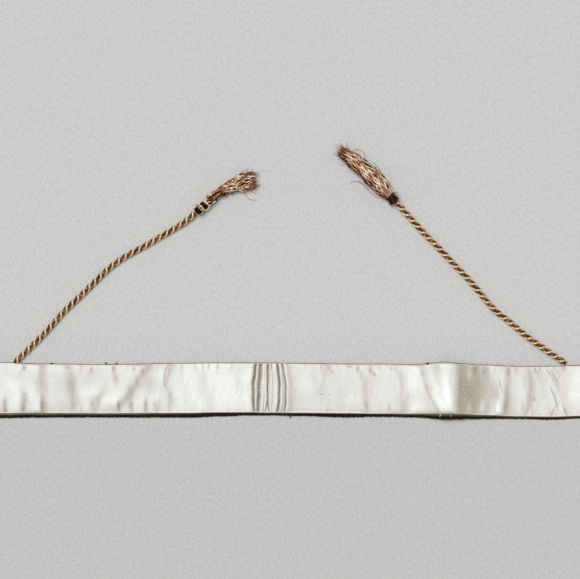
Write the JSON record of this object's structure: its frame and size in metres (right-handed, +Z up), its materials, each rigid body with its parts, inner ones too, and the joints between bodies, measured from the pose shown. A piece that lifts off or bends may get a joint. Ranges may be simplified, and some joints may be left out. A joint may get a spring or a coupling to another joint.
{
  "type": "silk sash with tasselled tie cords",
  "caption": "Long narrow silk sash lying flat with its satin lining up, twisted metallic tie cords sewn into one long seam, each ending in a tassel of crinkled thread.",
  "frame": {"origin": "on the resting surface, under the middle of the sash's length and width", "axes": "+X along the sash to the picture's right, +Y across it towards the cords and tassels, +Z up out of the surface"},
  "size_m": [0.76, 0.2701, 0.0117],
  "materials": {
    "outer_silk": "dark brown silk, paler where the hem rolls over",
    "satin_lining": "ivory silk satin",
    "gold_cord": "twisted metallic thread",
    "tassel_thread": "crinkled copper-coloured metallic thread",
    "binding_thread": "wound metallic thread"
  },
  "bodies": {
    "root": {"outer_cloth": "outer_silk", "lining": "satin_lining", "cord_left": "gold_cord", "cord_right": "gold_cord", "tassel_left": "tassel_thread", "tassel_right": "tassel_thread", "binding_left": "binding_thread", "binding_right": "binding_thread"}
  },
  "joints": []
}
